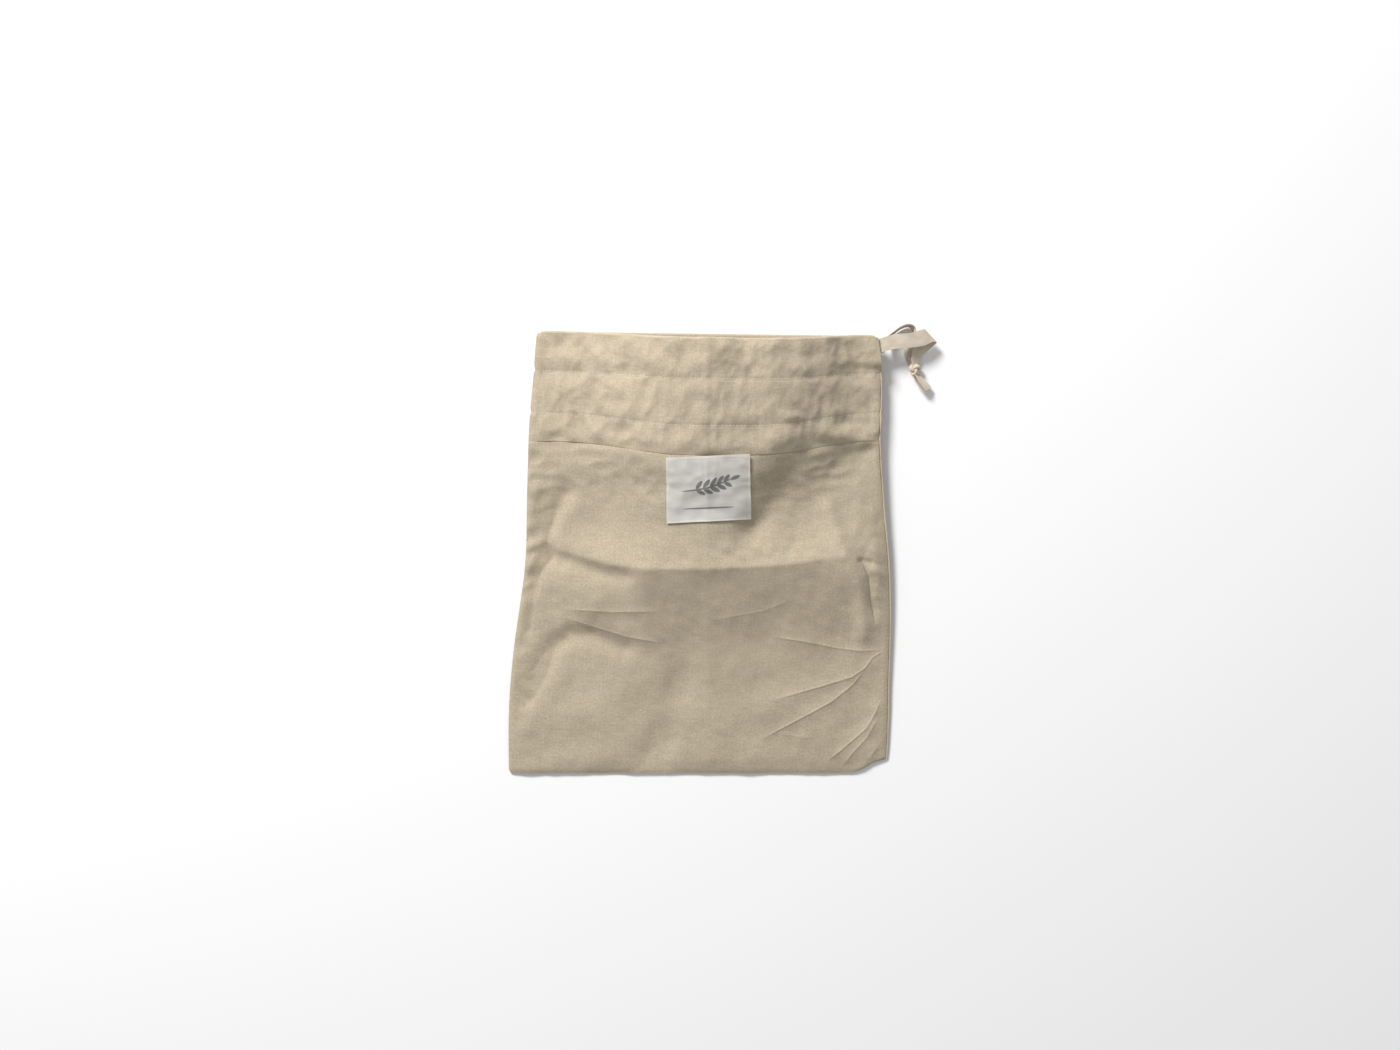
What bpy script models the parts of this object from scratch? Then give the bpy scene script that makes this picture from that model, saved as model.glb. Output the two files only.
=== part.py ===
"""Drawstring bread bag of waxed cloth, lying on its back with its mouth propped open.

+Z is up and +Y points out of the mouth. The origin is on the underside of the back panel, in its middle.
Lengths below are in millimetres; MM turns them into Blender's metres.
"""

import math
from collections import namedtuple

import bmesh
import bpy
from mathutils import Vector

MM = 0.001
GAP = 0.3
TUNNEL_GAP = 0.6
CLOTH = 1.2
TAPE = 1.0
TAPE_WIDTH = 13.0
LABEL = 1.0

# Heading: cloth doubled over the mouth, stitched twice below it, joined to the panels at the seam.
MOUTH = 203.5
MOUTH_LEAN = 0.014
CASING_STITCH = 167.0
LOWER_STITCH = 128.0
SEAM = 102.4
HEM_BELOW_STITCH = 6.0
TAPE_BELOW_MOUTH = 9.5
FOLD_RADIUS = (CLOTH + TAPE) / 2 + TUNNEL_GAP
STITCHED_DEPTH = 1.5 * CLOTH + 0.4
STITCH_RAMP = 8.0
ROW_PAST_FOLD = 1.0
INNER_INSET = 20.0
TURN_INSET = 14.0
PAST_EXIT = 0.6

# Bottom edge, with the right corner tucked in.
BOTTOM = -204.0
TUCK = 12.0
TUCK_WIDTH = 32.0
TUCK_FADE = 25.0

# Side edges: the two layers lie closed on each other, and lift off the surface towards the mouth.
CLOSED = 2 * CLOTH + GAP
MARGIN = 46.0
RIGHT_LIP = 2.0
EXIT_ROOM = 2 * TAPE + 3 * TUNNEL_GAP - GAP
EXIT_RAMP = 8.0
EXIT_FADE = 60.0

# Fullness of the mouth: its middle lies a little right of the centre line.
FULL_CENTRE = 5.0
LEFT_POWER = 2.6
RISE_POWER = 4

Outline = namedtuple("Outline", "y left right")
OUTLINE = (
    Outline(-204.0, -174.8, 169.8),
    Outline(-201.0, -176.2, 172.3),
    Outline(-196.0, -176.5, 173.2),
    Outline(-155.0, -176.5, 174.5),
    Outline(-118.0, -174.5, 175.0),
    Outline(-81.0, -170.5, 176.0),
    Outline(-44.0, -165.0, 176.0),
    Outline(-7.0, -160.5, 174.5),
    Outline(48.0, -159.0, 169.5),
    Outline(103.0, -157.5, 166.0),
    Outline(129.0, -156.0, 167.0),
    Outline(167.0, -152.5, 167.0),
    Outline(198.0, -150.0, 164.0),
    Outline(204.0, -148.0, 163.0),
)

# Cross sections: lift of the side edges, height of the full middle over them, how far it reaches
# to the left and to the right, how suddenly it falls off on the right (on the left: LEFT_POWER),
# height of the broad soft rise, and how far the cloth's rows drop back in plan at the middle.
Section = namedtuple("Section", "y lift full left right power rise drop")
SECTIONS = (
    Section(-204.0, 0.0, 0.0, 46.0, 46.0, 2.6, 0.0, 0.0),
    Section(-190.0, 0.6, 0.0, 46.0, 46.0, 2.6, 2.2, 0.0),
    Section(-150.0, 2.0, 0.0, 46.0, 46.0, 2.6, 3.4, 0.0),
    Section(-90.0, 3.5, 0.0, 46.0, 46.0, 2.6, 3.2, 0.0),
    Section(-50.0, 5.0, 0.0, 60.0, 60.0, 2.6, 2.6, 0.0),
    Section(-10.0, 6.5, 4.0, 64.0, 66.0, 2.6, 1.0, 1.0),
    Section(25.0, 8.0, 16.0, 64.0, 66.0, 2.6, -1.0, 5.0),
    Section(61.0, 9.5, 26.5, 74.0, 82.0, 2.9, 0.0, 10.0),
    Section(88.0, 10.5, 33.0, 83.0, 105.0, 4.0, 0.0, 14.5),
    Section(106.0, 11.0, 35.5, 86.0, 111.0, 4.2, 0.0, 14.0),
    Section(128.0, 11.5, 37.5, 89.0, 114.0, 4.5, 0.0, 13.0),
    Section(167.0, 11.5, 40.0, 90.0, 118.0, 5.0, 0.0, 8.5),
    Section(204.0, 11.0, 41.0, 90.0, 118.0, 5.0, 0.0, 7.4),
)

# Main folds of the front: each a soft ridge (rise over 0) or trough along a line of plan points.
Fold = namedtuple("Fold", "line rise width")
FOLDS = (
    # Fold across the bag below the label, its slow fall to the lower bag, and a hollow at its left
    Fold(((-137, 4), (-111, -3), (-85, -11), (-52, -15), (13, -15), (79, -11), (150, -1)), 5.5, 13),
    Fold(((-44, -22), (50, -22), (124, -15)), 13.0, 47),
    Fold(((-118, -7), (-70, -22)), -3.5, 9),
    # Slack beside the full middle
    Fold(((92, 90), (46, 18)), -4.5, 13),
    Fold(((42, 204), (46, 112)), -3.0, 16),
    Fold(((119, 155), (120, 112)), 2.0, 9),
    Fold(((128, 106), (158, 104)), 3.0, 8),
    Fold(((128, 88), (160, 92)), -2.0, 8),
    Fold(((-124, 54), (-138, 30), (-150, 8)), -5.0, 9),
    Fold(((-141, 0), (-154, -19), (-162, -42), (-164, -66)), -4.5, 9),
    # Ridge along the right edge
    Fold(((118, 39), (131, 2), (145, -23), (150, -47), (151, -76)), 4.0, 8),
    # Curved hollow at the lower left, and the swell inside it
    Fold(((-85, -72), (-118, -71), (-137, -81), (-147, -110), (-163, -131)), -6.0, 10),
    Fold(((-112, -98), (-122, -128)), 2.5, 12),
    # Soft valley down the lower middle
    Fold(((-35, -84), (-35, -146), (-54, -186)), -3.5, 15),
    # Pulls that fan from the right edge
    Fold(((62, -77), (124, -88), (169, -90)), 1.6, 6),
    Fold(((57, -139), (114, -123), (152, -107), (168, -92)), 1.8, 6),
    Fold(((50, -176), (95, -152), (141, -122)), 1.8, 6),
    Fold(((115, -195), (153, -163), (167, -136)), 1.6, 6),
)
FOLD_MARGIN = 14.0

# Label corners in plan
LABEL_TOP_LEFT = (-30.5, 86.0)
LABEL_TOP_RIGHT = (45.0, 89.5)
LABEL_BOTTOM_LEFT = (-30.0, 26.5)
LABEL_BOTTOM_RIGHT = (46.0, 30.5)

# Tape outside the bag, as its two long edges, from the knot to the exit for the upper strand
# and from the exit to the knot for the lower one, which stands on its edge.
Ribbon = namedtuple("Ribbon", "x y z other_x other_y other_z")
UPPER_STRAND = (
    Ribbon(194.5, 175.6, 7.5, 201.5, 175.4, 4.6),
    Ribbon(194.8, 179.0, 8.0, 203.8, 180.3, 4.8),
    Ribbon(196.2, 186.5, 9.0, 210.0, 185.8, 5.6),
    Ribbon(201.5, 196.8, 9.6, 215.8, 190.8, 6.4),
    Ribbon(206.6, 204.8, 10.6, 218.0, 193.2, 8.0),
    Ribbon(203.2, 204.2, 13.2, 214.0, 193.4, 11.0),
    Ribbon(198.0, 202.6, 14.6, 205.0, 189.6, 13.6),
    Ribbon(190.6, 201.0, 15.8, 191.4, 187.6, 15.6),
    Ribbon(178.0, 200.2, 15.8, 178.0, 186.6, 15.8),
)
LOWER_STRAND = (
    Ribbon(168.4, 195.2, 14.2, 168.8, 183.2, 12.2),
    Ribbon(173.0, 199.0, 13.9, 173.4, 190.6, 4.6),
    Ribbon(178.0, 202.9, 13.2, 178.6, 200.4, 1.0),
    Ribbon(185.0, 207.8, 13.0, 185.6, 206.2, 0.9),
    Ribbon(193.0, 209.8, 12.8, 192.6, 208.0, 0.8),
    Ribbon(198.2, 206.0, 12.4, 196.0, 204.6, 0.8),
    Ribbon(197.6, 198.0, 11.4, 194.6, 197.6, 0.8),
    Ribbon(195.0, 190.0, 8.2, 190.4, 190.0, 0.8),
    Ribbon(193.2, 182.6, 5.6, 189.0, 182.6, 0.8),
    Ribbon(195.4, 175.7, 3.4, 191.4, 174.4, 0.9),
)
FIRST_END = (
    Ribbon(198.6, 161.6, 8.6, 201.4, 162.2, 1.2),
    Ribbon(201.0, 158.4, 8.8, 204.6, 160.4, 0.9),
    Ribbon(205.6, 152.6, 8.4, 210.4, 155.6, 0.8),
    Ribbon(208.2, 148.6, 8.2, 213.4, 151.8, 0.8),
)
SECOND_END = (
    Ribbon(196.4, 161.2, 7.0, 199.4, 161.4, 0.9),
    Ribbon(198.6, 157.6, 7.2, 202.4, 158.8, 0.8),
    Ribbon(203.4, 151.2, 7.0, 208.4, 153.8, 0.8),
    Ribbon(206.2, 147.4, 6.8, 211.4, 150.2, 0.8),
)
KNOT_CENTRE = (198.0, 168.4, 5.4)
KNOT_RADII = (5.6, 6.4, 5.1)
KNOT_RIDGE = 0.6
KNOT_SLANT = (0.8, 0.6)
KNOT_TURNS = 2.2

SIDE_WEIGHT = 0.08
SLOPE_STEP = 0.5
PANEL_COLUMNS = 34
PANEL_ROWS = 31
BACK_COLUMNS = 24
BACK_ROWS = 14
HEADING_COLUMNS = 30
OUTER_ROWS = 8
FOLD_ROWS = 5
INNER_ROWS = 6
LABEL_STEPS = 8
TAPE_COLUMNS = 2
CASING_STEPS = 26
TURN_STEPS = 6
STRAND_STEPS = 3


def ease(t):
    """0 to 1 with soft ends, held outside that range."""
    t = min(1.0, max(0.0, t))
    return t * t * (3 - 2 * t)


def mix(a, b, t):
    return a + (b - a) * t


def along(table, column, y):
    """A table's column at y, on a smooth curve through its rows."""
    y = min(table[-1].y, max(table[0].y, y))
    last = len(table) - 1
    i = max(k for k in range(last) if table[k].y <= y)
    rows = [table[max(0, i - 1)], table[i], table[i + 1], table[min(last, i + 2)]]
    values = [getattr(row, column) for row in rows]
    step = rows[2].y - rows[1].y
    first = (values[2] - values[0]) / (rows[2].y - rows[0].y) * step
    second = (values[3] - values[1]) / (rows[3].y - rows[1].y) * step
    t = (y - rows[1].y) / step
    near = values[1] * (1 - t) ** 2 * (1 + 2 * t) + first * t * (1 - t) ** 2
    far = values[2] * t**2 * (3 - 2 * t) - second * t**2 * (1 - t)
    return near + far


def edges(y):
    return along(OUTLINE, "left", y), along(OUTLINE, "right", y)


def middle_share(x, y):
    """1 at the top of the full middle, falling to 0 at the sides."""
    rightwards = x > FULL_CENTRE
    spread = along(SECTIONS, "right" if rightwards else "left", y)
    power = along(SECTIONS, "power", y) if rightwards else LEFT_POWER
    return math.exp(-((abs(x - FULL_CENTRE) / spread) ** power))


def distance(x, y, start, end):
    """From a plan point to a straight line between two others."""
    run_x, run_y = end[0] - start[0], end[1] - start[1]
    share = ((x - start[0]) * run_x + (y - start[1]) * run_y) / (run_x**2 + run_y**2)
    share = min(1.0, max(0.0, share))
    return math.hypot(x - start[0] - share * run_x, y - start[1] - share * run_y)


def fold_height(x, y):
    """What the folds add at a point: each falls off beside its line and past its ends."""
    total = 0.0
    for fold in FOLDS:
        aside = min(distance(x, y, *ends) for ends in zip(fold.line, fold.line[1:]))
        total += fold.rise * math.exp(-((aside / fold.width) ** 2))
    return total


def back(x, y):
    """Height of the back's underside."""
    left, right = edges(y)
    inward = min(x - left, right - x)
    return along(SECTIONS, "lift", y) * (1 - ease(inward / MARGIN))


def front(x, y):
    """Height of the front's upper side."""
    left, right = edges(y)
    inward = max(0.0, min(x - left, right - x))
    across = abs(2 * (x - left) / (right - left) - 1)
    height = CLOSED + along(SECTIONS, "lift", y)
    height += along(SECTIONS, "full", y) * middle_share(x, y)
    height += along(SECTIONS, "rise", y) * (1 - min(1.0, across) ** RISE_POWER)
    height += fold_height(x, y) * ease(inward / FOLD_MARGIN)
    at_exit = ease((y - CASING_STITCH) / EXIT_RAMP) * ease(1 - (right - x) / EXIT_FADE)
    return max(height + EXIT_ROOM * at_exit, back(x, y) + CLOSED)


def slopes(surface, x, y):
    """Unit tangent towards the mouth and unit normal, upwards."""
    over_x = (surface(x + SLOPE_STEP, y) - surface(x - SLOPE_STEP, y)) / (2 * SLOPE_STEP)
    over_y = (surface(x, y + SLOPE_STEP) - surface(x, y - SLOPE_STEP)) / (2 * SLOPE_STEP)
    return Vector((0, 1, over_y)).normalized(), Vector((-over_x, -over_y, 1)).normalized()


def inside(surface, x, y, depth):
    """A point this deep under the bag's outer side."""
    normal = slopes(surface, x, y)[1]
    inward = normal if surface is back else -normal
    return Vector((x, y, surface(x, y))) + inward * depth


def row_y(surface, x, y):
    """Where the cloth's row that starts at y at the side edge passes x."""
    left = edges(y)[0]
    leaning = MOUTH_LEAN * (x - left) * ease((y - SEAM) / (MOUTH - SEAM))
    drop = along(SECTIONS, "drop", y) * middle_share(x, y) if surface is front else 0.0
    tuck = TUCK * ease((x - edges(y)[1] + TUCK_WIDTH) / TUCK_WIDTH)
    return y - leaning - drop + tuck * math.exp((BOTTOM - y) / TUCK_FADE)


def cloth_point(surface, u, y, depth, inset=0.0):
    """A point of the cloth: u runs from the left edge to the right one."""
    left, right = edges(y)
    lip = RIGHT_LIP if surface is front else 0.0
    x = mix(left + inset, right - max(inset, lip), u)
    return inside(surface, x, row_y(surface, x, y), depth)


def side_weighted(u):
    """Columns closer together near the sides."""
    return u - SIDE_WEIGHT * math.sin(2 * math.pi * u)


def panel_point(surface, u, v):
    y = mix(BOTTOM, SEAM - GAP / 2, v)
    return cloth_point(surface, side_weighted(u), y, CLOTH / 2)


def heading_point(surface, u, row):
    """Rows run up the outer layer, round the mouth's fold and down the inner layer."""
    u = side_weighted(u)
    fold_y = MOUTH - FOLD_RADIUS
    if row <= OUTER_ROWS:
        y = mix(SEAM + GAP / 2, fold_y - ROW_PAST_FOLD, row / OUTER_ROWS)
        return cloth_point(surface, u, y, CLOTH / 2)
    if row <= OUTER_ROWS + FOLD_ROWS:
        left, right = edges(fold_y)
        x = mix(left + INNER_INSET, right - INNER_INSET, u)
        y = row_y(surface, x, fold_y)
        tangent, normal = slopes(surface, x, y)
        outward = -normal if surface is back else normal
        turn = math.pi * (row - OUTER_ROWS - 1) / (FOLD_ROWS - 1)
        centre = inside(surface, x, y, CLOTH / 2 + FOLD_RADIUS)
        return centre + (outward * math.cos(turn) + tangent * math.sin(turn)) * FOLD_RADIUS
    share = (row - OUTER_ROWS - FOLD_ROWS) / INNER_ROWS
    y = mix(fold_y - ROW_PAST_FOLD, LOWER_STITCH - HEM_BELOW_STITCH, share)
    stitched = ease((CASING_STITCH + STITCH_RAMP - y) / STITCH_RAMP)
    depth = mix(CLOTH / 2 + 2 * FOLD_RADIUS, STITCHED_DEPTH, stitched)
    return cloth_point(surface, u, y, depth, INNER_INSET)


def label_point(u, v):
    low = Vector(LABEL_BOTTOM_LEFT).lerp(Vector(LABEL_BOTTOM_RIGHT), u)
    high = Vector(LABEL_TOP_LEFT).lerp(Vector(LABEL_TOP_RIGHT), u)
    x, y = low.lerp(high, v)
    return inside(front, x, y, -GAP - LABEL / 2)


def casing_station(surface, x):
    """The tape's two edges where it runs inside the casing."""
    y = row_y(surface, x, MOUTH) - TAPE_BELOW_MOUTH
    depth = CLOTH + TUNNEL_GAP + TAPE / 2
    upper = inside(surface, x, y + TAPE_WIDTH / 2, depth)
    return upper, inside(surface, x, y - TAPE_WIDTH / 2, depth)


def casing_run(surface, backwards):
    left, right = edges(MOUTH - TAPE_BELOW_MOUTH)
    start, end = left + TURN_INSET, right + PAST_EXIT
    stations = []
    for i in range(CASING_STEPS + 1):
        share = i / CASING_STEPS
        stations.append(casing_station(surface, mix(start, end, share)))
    return stations[::-1] if backwards else stations


def left_turn(above, below):
    """Half rounds at the left side, from the front casing down to the back one."""
    stations = []
    for i in range(1, TURN_STEPS):
        turn = math.pi * i / TURN_STEPS
        pair = []
        for high, low in zip(above, below):
            radius = (high.z - low.z) / 2
            centre = (high + low) / 2
            offset = Vector((-math.sin(turn) * radius, 0, math.cos(turn) * radius))
            pair.append(centre + offset)
        stations.append(tuple(pair))
    return stations


def rounded(rows):
    """Stations on a smooth curve through a table of ribbon edges."""
    pairs = [(Vector(row[:3]), Vector(row[3:])) for row in rows]
    stations = []
    for i in range(len(pairs) - 1):
        near = [pairs[max(0, i - 1)], pairs[i], pairs[i + 1], pairs[min(len(pairs) - 1, i + 2)]]
        for k in range(STRAND_STEPS):
            t = k / STRAND_STEPS
            stations.append(tuple(spline([pair[side] for pair in near], t) for side in (0, 1)))
    return stations + [pairs[-1]]


def spline(points, t):
    """A point between the middle two of four, on a Catmull-Rom curve."""
    a, b, c, d = points
    slope_in, slope_out = (c - a) / 2, (d - b) / 2
    near = b * ((1 - t) ** 2 * (1 + 2 * t)) + slope_in * (t * (1 - t) ** 2)
    return near + c * (t**2 * (3 - 2 * t)) - slope_out * (t**2 * (1 - t))


def material(name, colour, roughness):
    made = bpy.data.materials.new(name)
    made.use_nodes = True
    shader = made.node_tree.nodes["Principled BSDF"]
    shader.inputs["Base Color"].default_value = (*colour, 1)
    shader.inputs["Roughness"].default_value = roughness
    shader.inputs["Metallic"].default_value = 0.0
    return made


def finish(name, mesh, collection, look, thickness=0.0):
    """An object of this mesh, given the cloth's thickness if it is an open sheet."""
    mesh.materials.append(look)
    mesh.shade_smooth()
    made = bpy.data.objects.new(name, mesh)
    collection.objects.link(made)
    if thickness:
        solid = made.modifiers.new("Thickness", "SOLIDIFY")
        solid.thickness = thickness * MM
        solid.offset = 0.0
    return made


def sheet(name, columns, rows, point, thickness, collection, look):
    """A grid whose points a formula places: point takes the column's and the row's number."""
    shape = bmesh.new()
    bmesh.ops.create_grid(shape, x_segments=columns, y_segments=rows, size=0.5)
    for vert in shape.verts:
        column = round((vert.co.x + 0.5) * columns)
        row = round((vert.co.y + 0.5) * rows)
        vert.co = point(column, row) * MM
    mesh = bpy.data.meshes.new(name)
    shape.to_mesh(mesh)
    shape.free()
    return finish(name, mesh, collection, look, thickness)


def ribbon(name, stations, collection, look):
    def point(column, row):
        return stations[row][0].lerp(stations[row][1], column / TAPE_COLUMNS)

    return sheet(name, TAPE_COLUMNS, len(stations) - 1, point, TAPE, collection, look)


def knot(name, collection, look):
    """A tight lump of tape with the turns of the tie across it."""
    shape = bmesh.new()
    bmesh.ops.create_uvsphere(shape, u_segments=18, v_segments=12, radius=1)
    for vert in shape.verts:
        slant = vert.co.y * KNOT_SLANT[0] - vert.co.x * KNOT_SLANT[1]
        groove = (1 - math.cos(slant * KNOT_TURNS * math.pi)) / 2
        swell = 1 - KNOT_RIDGE / KNOT_RADII[0] * groove
        for axis in range(3):
            vert.co[axis] = (vert.co[axis] * KNOT_RADII[axis] * swell + KNOT_CENTRE[axis]) * MM
    mesh = bpy.data.meshes.new(name)
    shape.to_mesh(mesh)
    shape.free()
    return finish(name, mesh, collection, look)


def cloth_pieces(collection):
    cloth = material("waxed cloth", (0.44, 0.38, 0.27), 0.8)
    woven = material("label cloth", (0.62, 0.60, 0.56), 0.85)
    for surface, side in ((front, "front"), (back, "back")):
        columns = PANEL_COLUMNS if surface is front else BACK_COLUMNS
        rows = PANEL_ROWS if surface is front else BACK_ROWS

        def on_panel(column, row):
            return panel_point(surface, column / columns, row / rows)

        def on_heading(column, row):
            return heading_point(surface, column / HEADING_COLUMNS, row)

        heading_rows = OUTER_ROWS + FOLD_ROWS + INNER_ROWS
        sheet(side + "_panel", columns, rows, on_panel, CLOTH, collection, cloth)
        sheet(side + "_heading", HEADING_COLUMNS, heading_rows, on_heading, CLOTH, collection, cloth)

    def on_label(column, row):
        return label_point(column / LABEL_STEPS, row / LABEL_STEPS)

    sheet("label", LABEL_STEPS, LABEL_STEPS, on_label, LABEL, collection, woven)


def tape_pieces(collection):
    cotton = material("cotton tape", (0.68, 0.62, 0.55), 0.8)
    above = casing_run(front, backwards=True)
    below = casing_run(back, backwards=False)
    stations = rounded(UPPER_STRAND) + above + left_turn(above[-1], below[0]) + below
    ribbon("tape", stations + rounded(LOWER_STRAND), collection, cotton)
    knot("tape_knot", collection, cotton)
    ribbon("tape_end_upper", rounded(FIRST_END), collection, cotton)
    ribbon("tape_end_lower", rounded(SECOND_END), collection, cotton)


def main():
    for old in list(bpy.data.objects):
        bpy.data.objects.remove(old)
    collection = bpy.data.collections.new("bread bag")
    bpy.context.scene.collection.children.link(collection)
    cloth_pieces(collection)
    tape_pieces(collection)


main()
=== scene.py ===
"""Looks of a drawstring bread bag of waxed cloth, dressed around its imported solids.

Lengths in the tables and the shape functions are millimetres, as in the part, and MM turns them
into metres.
"""

import math
from collections import namedtuple

import bpy
import numpy as np
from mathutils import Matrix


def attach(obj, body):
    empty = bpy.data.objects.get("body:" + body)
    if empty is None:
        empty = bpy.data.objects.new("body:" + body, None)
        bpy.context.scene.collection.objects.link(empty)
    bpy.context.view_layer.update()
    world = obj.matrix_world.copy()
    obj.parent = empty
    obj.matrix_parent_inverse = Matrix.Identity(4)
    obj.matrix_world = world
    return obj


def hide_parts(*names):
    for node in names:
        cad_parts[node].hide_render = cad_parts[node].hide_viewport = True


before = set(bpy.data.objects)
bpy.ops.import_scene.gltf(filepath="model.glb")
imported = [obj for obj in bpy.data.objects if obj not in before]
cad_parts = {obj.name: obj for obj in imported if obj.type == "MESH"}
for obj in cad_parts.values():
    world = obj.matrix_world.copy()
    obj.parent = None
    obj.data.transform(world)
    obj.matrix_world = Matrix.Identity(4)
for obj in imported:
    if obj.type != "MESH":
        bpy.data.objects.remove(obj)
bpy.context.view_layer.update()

MM = 0.001
SEED = 11

# Cloth, tape and label as they are seen
CLOTH = 1.0
TAPE = 0.7
TAPE_WIDTH = 13.0
LABEL = 0.45
LABEL_LIFT = 0.6

# Heading: its lines, the fold at the mouth and the hem inside
MOUTH = 203.5
MOUTH_LEAN = 0.014
CASING_STITCH = 167.0
LOWER_STITCH = 128.0
SEAM = 102.4
HEM_BELOW_STITCH = 6.0
TAPE_BELOW_MOUTH = 9.5
FOLD_RADIUS = 1.7
STITCHED_DEPTH = 1.9
STITCH_RAMP = 8.0
INNER_INSET = 9.0
MOUTH_INSET = 3.0
LEAST_RADIUS = 0.35
OUTER_STOP = 0.8
INNER_START = 1.0
INNER_RELIEF = 0.8
TURN_INSET = 14.0
TAPE_DEPTH = 2.3

# The step at the seam under the heading
SEAM_GAP = 0.15
PANEL_STEP = 0.9
HEADING_STEP = 0.35
STEP_FADE = 2.0
SEAM_CALM = 0.85
SEAM_CALM_WIDTH = 4.0

# Bottom edge, with the right corner tucked in
BOTTOM = -204.0
TUCK = 12.0
TUCK_WIDTH = 32.0
TUCK_FADE = 25.0

# Side edges
CLOSED = 2.7
MARGIN = 46.0
RIGHT_LIP = 2.0
EXIT_ROOM = 3.5
EXIT_RAMP = 8.0
EXIT_FADE = 60.0
EXIT_WIDTH = 12.0
SIDE_ROLL = 0.9
BACK_ROLL = 0.5
BOTTOM_ROLL = 0.8
ROLL_WIDTH = 3.0

FULL_CENTRE = 5.0
LEFT_POWER = 2.6
RISE_POWER = 4

Outline = namedtuple("Outline", "y left right")
OUTLINE = (
    Outline(-204.0, -174.8, 169.8),
    Outline(-201.0, -176.2, 172.3),
    Outline(-196.0, -176.5, 173.2),
    Outline(-155.0, -176.5, 174.5),
    Outline(-118.0, -174.5, 175.0),
    Outline(-81.0, -170.5, 176.0),
    Outline(-44.0, -165.0, 176.0),
    Outline(-7.0, -160.5, 174.5),
    Outline(48.0, -159.0, 169.5),
    Outline(103.0, -157.5, 166.0),
    Outline(129.0, -156.0, 167.0),
    Outline(167.0, -152.5, 167.0),
    Outline(198.0, -150.0, 164.0),
    Outline(204.0, -148.0, 163.0),
)

# lift: how high the side edges lie. full: how high the middle is held up. It falls off over each
# side's spread, the more suddenly the higher the power is (LEFT_POWER at the left). rise: how far
# the slack front swells over its whole width. drop: how far a row is drawn down in the middle.
Section = namedtuple("Section", "y lift full left right power rise drop")
SECTIONS = (
    Section(-204.0, 0.0, 0.0, 46.0, 46.0, 2.6, 0.0, 0.0),
    Section(-190.0, 0.6, 0.0, 46.0, 46.0, 2.6, 2.2, 0.0),
    Section(-150.0, 2.0, 0.0, 46.0, 46.0, 2.6, 3.4, 0.0),
    Section(-90.0, 3.5, 0.0, 46.0, 46.0, 2.6, 3.2, 0.0),
    Section(-50.0, 5.0, 0.0, 60.0, 60.0, 2.6, 2.6, 0.0),
    Section(-10.0, 6.5, 4.0, 64.0, 66.0, 2.6, 1.0, 1.0),
    Section(25.0, 8.0, 16.0, 64.0, 66.0, 2.6, -1.0, 5.0),
    Section(61.0, 9.5, 26.5, 74.0, 82.0, 2.9, 0.0, 10.0),
    Section(88.0, 10.5, 33.0, 83.0, 105.0, 4.0, 0.0, 14.5),
    Section(106.0, 11.0, 35.5, 86.0, 111.0, 4.2, 0.0, 14.0),
    Section(128.0, 11.5, 37.5, 89.0, 114.0, 4.5, 0.0, 13.0),
    Section(167.0, 11.5, 40.0, 90.0, 118.0, 5.0, 0.0, 8.5),
    Section(204.0, 11.0, 41.0, 90.0, 118.0, 5.0, 0.0, 7.4),
)

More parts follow.
